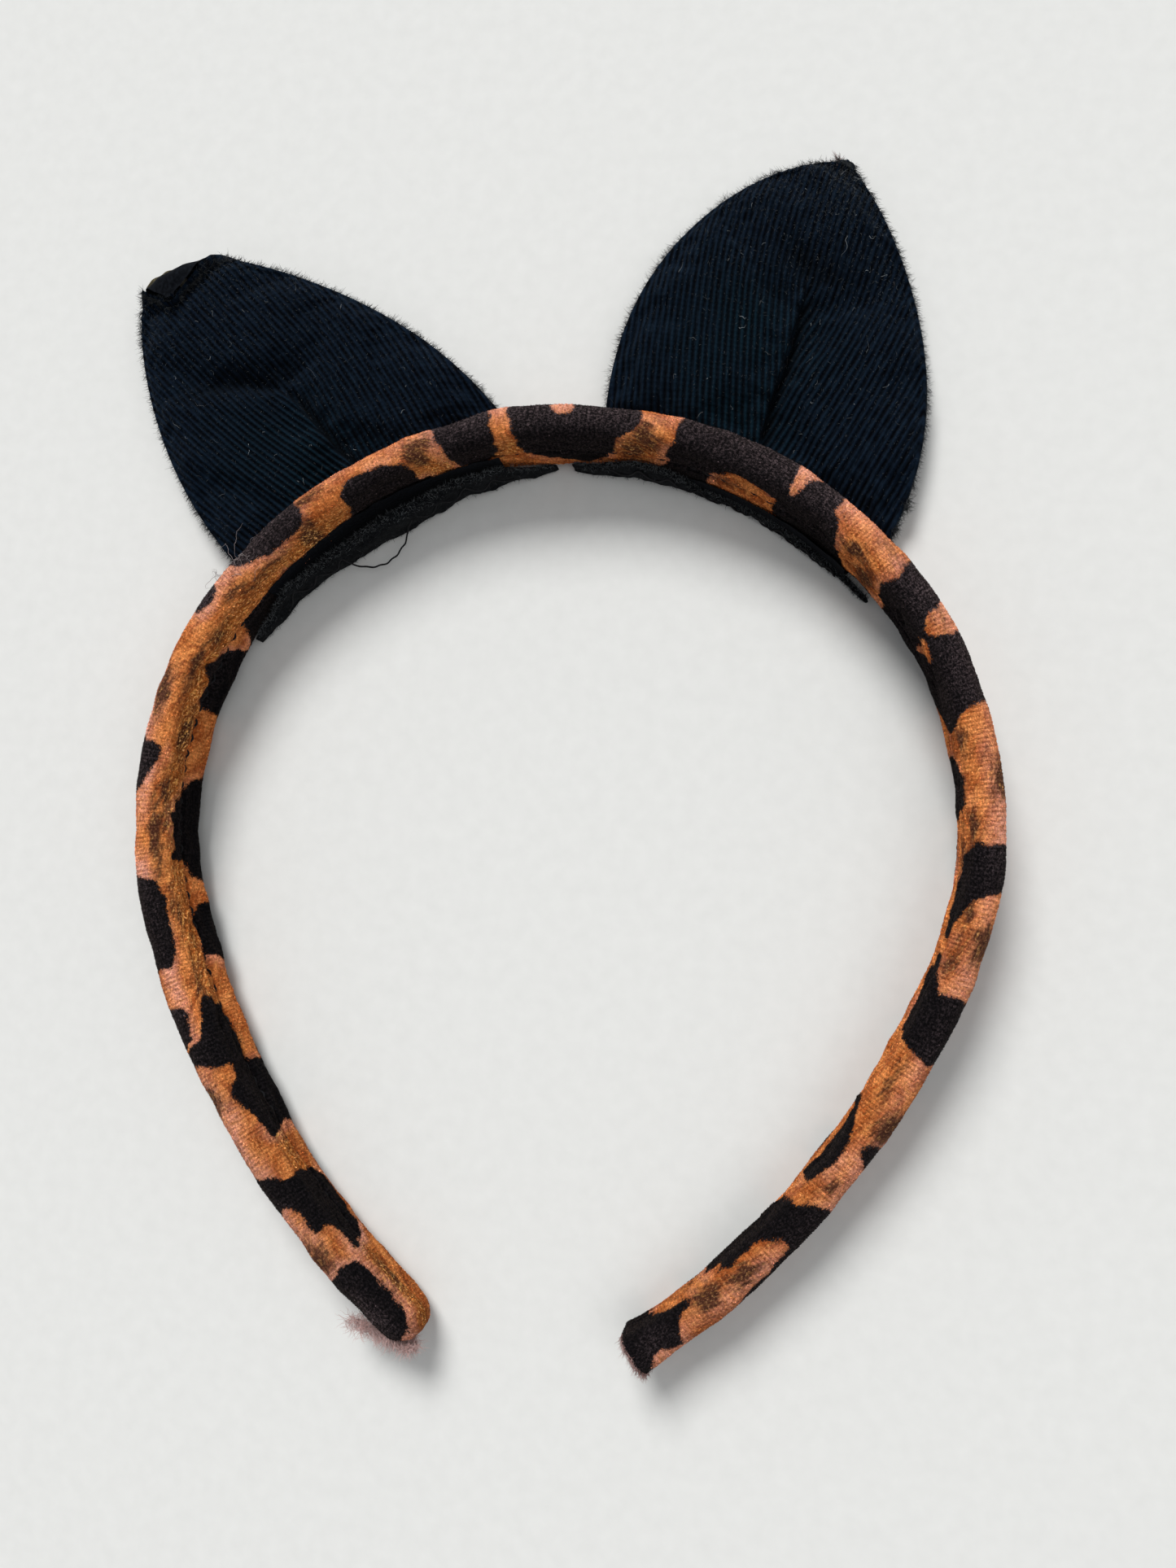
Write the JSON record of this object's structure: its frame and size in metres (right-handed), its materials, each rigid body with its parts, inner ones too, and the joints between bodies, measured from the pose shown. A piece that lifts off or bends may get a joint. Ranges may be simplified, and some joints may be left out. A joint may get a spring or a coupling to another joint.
{
  "type": "animal ears headband",
  "caption": "Springy horseshoe headband in a printed velvet sleeve, with flat knitted cat ears sewn to the crown.",
  "frame": {"origin": "middle of the whole part's box, on the surface that it lies on", "axes": "+X to the right of someone who looks at the wearer, +Y from the tips to the crown and the ears, +Z to the wearer's front, up off the table"},
  "size_m": [0.1402, 0.1788, 0.0136],
  "materials": {
    "velvet": "short-pile velvet, orange and tan with brown and black leopard patches",
    "strip": "plain moulded plastic",
    "knit": "fine rib knit, matte, slightly fuzzy",
    "lining": "plain smooth knit",
    "stiffener": "non-woven interfacing felt",
    "ribbon": "woven velvet-faced ribbon, frayed along its edge",
    "thread": "twisted polyester sewing thread"
  },
  "bodies": {
    "crown": {"strip_crown": "strip", "sleeve_crown": "velvet", "sleeve_seam_thread_crown": "thread", "ear_left_tab": "knit", "ear_left_ribbon": "ribbon", "ear_left_ribbon_thread": "thread", "ear_right_tab": "knit", "ear_right_ribbon": "ribbon", "ear_right_ribbon_thread": "thread"},
    "arm_left": {"strip_arm_left": "strip", "sleeve_arm_left": "velvet", "sleeve_seam_thread_arm_left": "thread"},
    "arm_right": {"strip_arm_right": "strip", "sleeve_arm_right": "velvet", "sleeve_seam_thread_arm_right": "thread"},
    "ear_left": {"ear_left_back_panel": "lining", "ear_left_stiffener": "stiffener", "ear_left_front_panel": "knit", "ear_left_edge_thread": "thread", "ear_left_dart_thread": "thread"},
    "ear_right": {"ear_right_back_panel": "lining", "ear_right_stiffener": "stiffener", "ear_right_front_panel": "knit", "ear_right_edge_thread": "thread", "ear_right_dart_thread": "thread"}
  },
  "joints": [
    {"name": "arm_left_flex", "type": "hinge", "parent": "crown", "child": "arm_left", "pos_m": [-0.05098, 0.00914, 0.00735], "axis": [0, 0, -1], "range_deg": [-6, 20], "stiffness_Nm_per_rad": 1.2},
    {"name": "arm_right_flex", "type": "hinge", "parent": "crown", "child": "arm_right", "pos_m": [0.06253, 0.00914, 0.00735], "axis": [0, 0, 1], "range_deg": [-6, 20], "stiffness_Nm_per_rad": 1.2},
    {"name": "ear_left_fold", "type": "hinge", "parent": "crown", "child": "ear_left", "pos_m": [-0.02839, 0.03965, 0.00125], "axis": [0.8616, 0.5075, 0], "range_deg": [-30, 70], "stiffness_Nm_per_rad": 0.03},
    {"name": "ear_right_fold", "type": "hinge", "parent": "crown", "child": "ear_right", "pos_m": [0.03347, 0.043, 0.00125], "axis": [0.9114, -0.4115, 0], "range_deg": [-30, 70], "stiffness_Nm_per_rad": 0.03}
  ]
}
